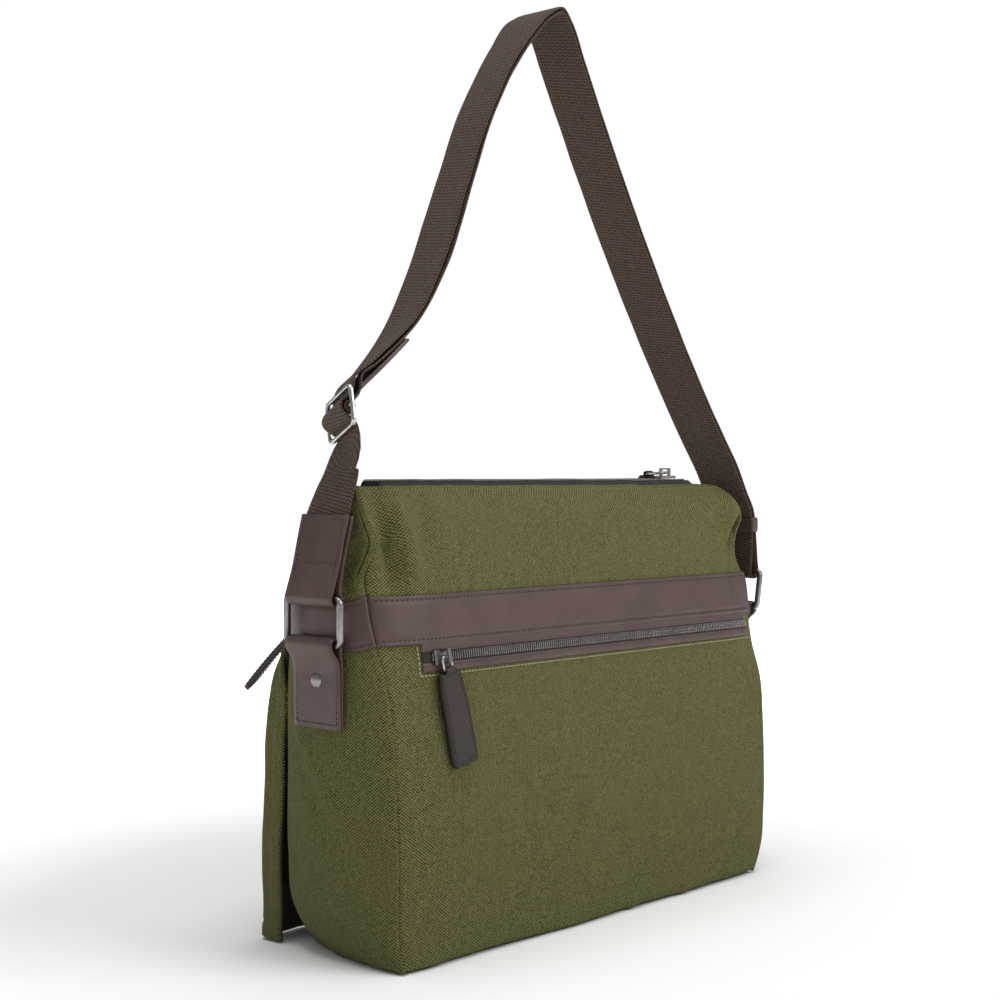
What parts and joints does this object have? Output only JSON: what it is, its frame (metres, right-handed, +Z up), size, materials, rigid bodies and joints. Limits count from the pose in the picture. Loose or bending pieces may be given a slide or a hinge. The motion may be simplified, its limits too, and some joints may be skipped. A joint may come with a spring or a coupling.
{
  "type": "messenger bag",
  "caption": "Canvas messenger bag with leather band, back and front zip pockets, front flap, top zip mouth and an adjustable webbing shoulder strap on metal rings.",
  "frame": {"origin": "on the flat base, at half width and between the back and front seams", "axes": "+Z up along the standing strap, +Y out of the back panel with the zip pocket, -Y out of the flap, +X towards the side with the strap adjuster"},
  "size_m": [0.4399, 0.1559, 0.6179],
  "materials": {
    "canvas": "olive green cotton canvas, visible twill weave, matt",
    "leather": "dark mauve-brown smooth leather, satin",
    "webbing": "dark brown woven cotton webbing",
    "lining": "plain woven lining, dark brown",
    "zip_tape": "black herringbone zip tape",
    "zip_coil": "black nylon coil",
    "nickel": "nickel plated, lightly worn",
    "magnet_steel": "plated magnet disc"
  },
  "bodies": {
    "bag": {"back_panel": "canvas", "front_panel": "canvas", "base_panel": "canvas", "gusset_near": "canvas", "gusset_far": "canvas", "lining": "lining", "band_back": "leather", "band_front": "leather", "band_near": "leather", "band_far": "leather", "back_zip_tape": "zip_tape", "back_zip_coil": "zip_coil", "back_pocket_bag": "lining", "front_zip_tape": "zip_tape", "front_zip_coil": "zip_coil", "top_zip_tape_back": "zip_tape", "top_zip_tape_front": "zip_tape", "top_zip_coil": "zip_coil", "front_pocket": "canvas", "pocket_magnets": "magnet_steel", "tab_lower_near": "leather", "tab_lower_far": "leather", "rivets": "nickel", "tab_upper_near": "leather", "webbing_lead_near": "webbing", "webbing_lead_far": "webbing"},
    "flap": {"flap": "canvas", "flap_lining": "lining", "flap_magnets": "magnet_steel"},
    "back_slider": {"back_zip_slider": "nickel"},
    "back_pull": {"back_zip_link": "nickel", "back_zip_pull": "leather"},
    "front_slider": {"front_zip_slider": "nickel"},
    "front_pull": {"front_zip_link": "nickel", "front_zip_pull": "leather"},
    "top_slider": {"top_zip_slider": "nickel", "top_zip_link": "nickel"},
    "top_pull": {"top_zip_pull": "leather"},
    "near_ring": {"ring_near": "nickel"},
    "far_ring": {"ring_far": "nickel"},
    "keeper": {"strap_keeper": "leather"},
    "strap": {"strap_outer": "webbing", "strap_inner": "webbing", "adjuster_frame": "nickel", "adjuster_bar": "nickel", "adjuster_wrap": "webbing", "strap_tip": "leather"}
  },
  "joints": [
    {"name": "flap_hinge", "type": "hinge", "parent": "bag", "child": "flap", "pos_m": [0, -0.055, 0.1895], "axis": [-1, 0, 0], "range_deg": [0, 110]},
    {"name": "back_zip_slide", "type": "slide", "parent": "bag", "child": "back_slider", "axis": [-1, 0, 0], "range_m": [0, 0.3]},
    {"name": "back_pull_swing", "type": "hinge", "parent": "back_slider", "child": "back_pull", "pos_m": [0.14, 0.04342, 0.18553], "axis": [0.9877, 0.0156, -0.1557], "range_deg": [0, 110]},
    {"name": "front_zip_slide", "type": "slide", "parent": "bag", "child": "front_slider", "axis": [-1, 0, 0], "range_m": [0, 0.3]},
    {"name": "front_pull_swing", "type": "hinge", "parent": "front_slider", "child": "front_pull", "pos_m": [0.166, -0.05137, 0.20797], "axis": [-0.8491, -0.4515, 0.2743], "range_deg": [0, 90]},
    {"name": "top_zip_slide", "type": "slide", "parent": "bag", "child": "top_slider", "axis": [1, 0, 0], "range_m": [0, 0.28]},
    {"name": "top_pull_swing", "type": "hinge", "parent": "top_slider", "child": "top_pull", "pos_m": [-0.145, -0.02116, 0.29674], "axis": [-1, 0, 0], "range_deg": [0, 100]},
    {"name": "near_ring_rock", "type": "hinge", "parent": "bag", "child": "near_ring", "pos_m": [0.202, -0.008, 0.194], "axis": [0, 1, 0], "range_deg": [-3.5, 3.5]},
    {"name": "far_ring_rock", "type": "hinge", "parent": "bag", "child": "far_ring", "pos_m": [-0.222, 0, 0.194], "axis": [0, -1, 0], "range_deg": [-3.5, 3.5]},
    {"name": "keeper_slide", "type": "slide", "parent": "bag", "child": "keeper", "axis": [0, 0, -1], "range_m": [0, 0.01]},
    {"name": "strap_swing", "type": "hinge", "parent": "bag", "child": "strap", "pos_m": [0, -0.008, 0.29], "axis": [-1, 0, 0], "range_deg": [-54, 75], "deforming": ["webbing_lead_near", "webbing_lead_far"]}
  ],
  "couplings": [
    {"joint": "front_pull_swing", "follows": "flap_hinge", "ratio": 0.8}
  ]
}
